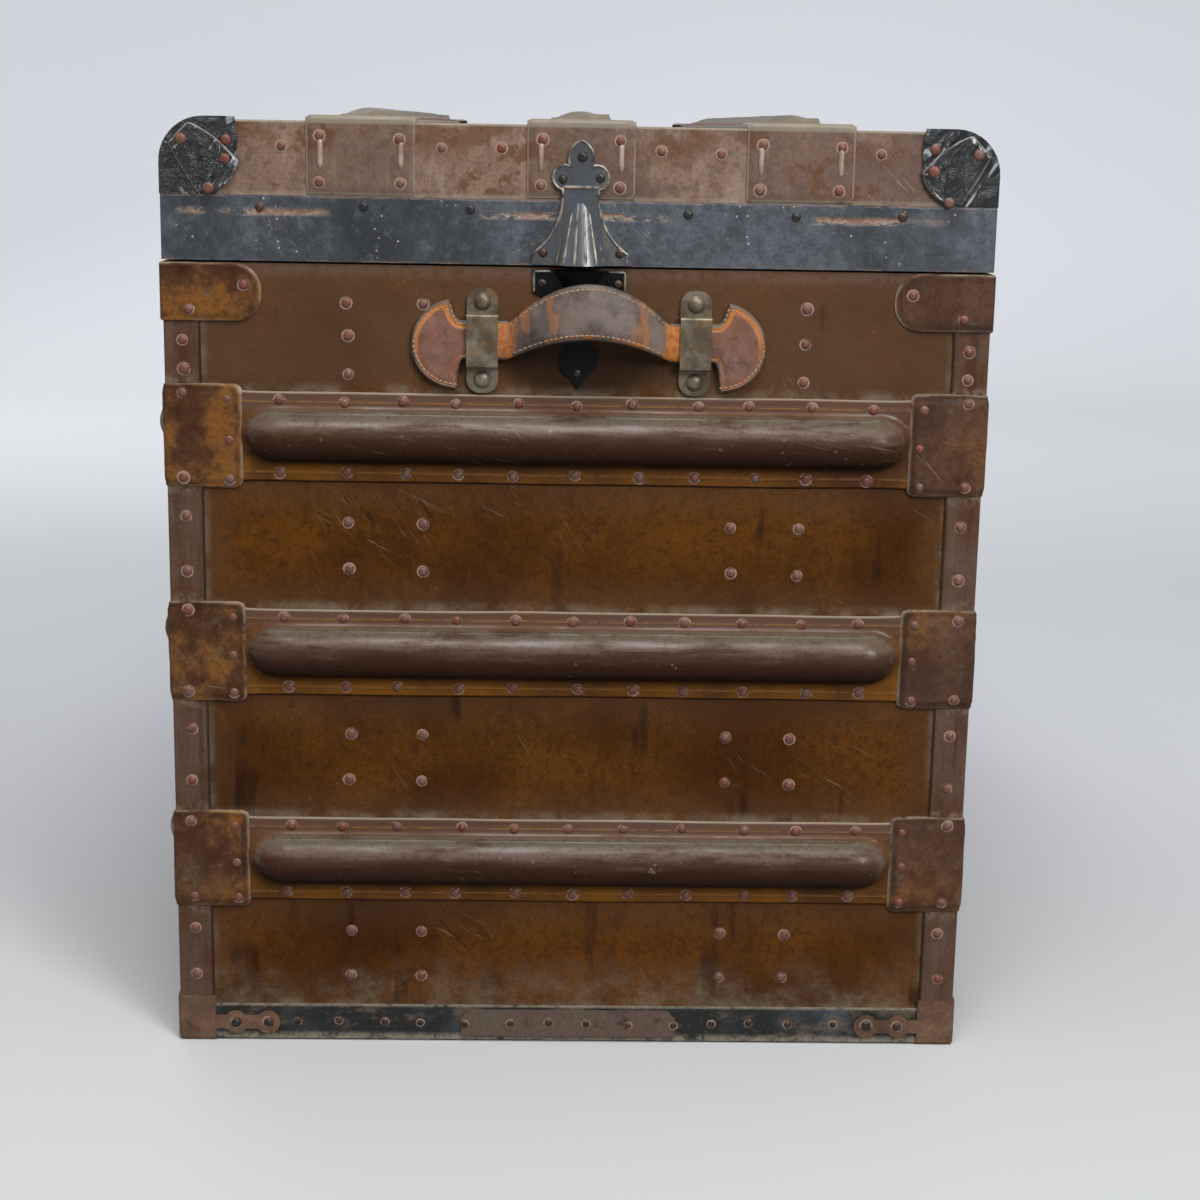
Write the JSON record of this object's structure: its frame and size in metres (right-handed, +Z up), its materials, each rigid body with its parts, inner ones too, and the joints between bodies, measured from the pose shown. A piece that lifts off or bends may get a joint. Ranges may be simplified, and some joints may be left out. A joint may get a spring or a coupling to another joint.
{
  "type": "travelling trunk",
  "caption": "Flat-topped travelling trunk, hide over boards with ribbed leather bands, metal edging, hinged lid, hasp lock, end handles and a lift-out tray.",
  "frame": {"origin": "middle of the plan at the floor plane", "axes": "+Z up, +Y along the length towards the right end, +X towards the lock side; the end in the picture faces -Y"},
  "size_m": [0.59, 0.979, 0.6559],
  "materials": {
    "pine": "bare planed softwood",
    "lining": "pasted cotton lining",
    "hide": "varnished brown hide, scuffed",
    "band_leather": "worn brown leather",
    "strap_leather": "worn harness leather, stitched edges",
    "black_leather": "black varnished leather, scuffed",
    "japanned_steel": "black japanned sheet, chipped",
    "old_steel": "dull tarnished steel",
    "rusty_steel": "rusty pressed steel",
    "old_brass": "dull brown brassed steel"
  },
  "bodies": {
    "trunk_body": {"bottom_board": "pine", "front_board": "pine", "back_board": "pine", "left_end_board": "pine", "right_end_board": "pine", "body_lining": "lining", "front_covering": "hide", "back_covering": "hide", "left_end_covering": "hide", "right_end_covering": "hide", "edge_bindings": "black_leather", "left_end_bands": "band_leather", "right_end_bands": "band_leather", "front_bands": "band_leather", "back_bands": "band_leather", "band_battens": "pine", "corner_clamps": "band_leather", "top_corner_patches": "black_leather", "base_bindings": "black_leather", "base_overlays": "band_leather", "base_corner_caps": "rusty_steel", "handle_loops": "old_steel", "handle_tabs": "strap_leather", "handle_rivets": "old_brass", "dowel_bases": "japanned_steel", "hinge_body_leaves": "old_steel", "hinge_pins": "old_steel", "lock_plate": "old_brass", "tray_cleats": "pine"},
    "lid": {"lid_top_board": "pine", "lid_front_rail": "pine", "lid_back_rail": "pine", "lid_left_end_board": "pine", "lid_right_end_board": "pine", "lid_lining": "lining", "lid_wrap_covering": "hide", "lid_left_end_covering": "hide", "lid_right_end_covering": "hide", "lid_valance": "japanned_steel", "lid_bands": "band_leather", "lid_battens": "pine", "lid_band_clamps": "band_leather", "lid_corner_caps": "black_leather", "dowel_bells": "japanned_steel", "hinge_lid_leaves": "old_steel", "hasp_plate": "old_brass", "hasp_pin": "old_steel"},
    "hasp": {"lock_hasp": "old_brass"},
    "left_handle": {"left_handle_grip": "strap_leather"},
    "right_handle": {"right_handle_grip": "strap_leather"},
    "tray": {"tray_bottom": "pine", "tray_long_walls": "pine", "tray_end_walls": "pine", "tray_divider": "pine"}
  },
  "joints": [
    {"name": "lid_hinge", "type": "hinge", "parent": "trunk_body", "child": "lid", "pos_m": [-0.2819, 0, 0.55375], "axis": [0, -1, 0], "range_deg": [0, 98]},
    {"name": "hasp_hinge", "type": "hinge", "parent": "lid", "child": "hasp", "pos_m": [0.2844, 0, 0.5745], "axis": [0, -1, 0], "range_deg": [0, 100]},
    {"name": "left_handle_swing", "type": "hinge", "parent": "trunk_body", "child": "left_handle", "pos_m": [0.007, -0.461, 0.504], "axis": [-1, 0, 0], "range_deg": [-14, 12], "stiffness_Nm_per_rad": 0.5},
    {"name": "right_handle_swing", "type": "hinge", "parent": "trunk_body", "child": "right_handle", "pos_m": [-0.007, 0.461, 0.504], "axis": [1, 0, 0], "range_deg": [-14, 12], "stiffness_Nm_per_rad": 0.5},
    {"name": "tray_lift", "type": "slide", "parent": "trunk_body", "child": "tray", "axis": [0, 0, 1], "range_m": [0, 0.07]}
  ]
}
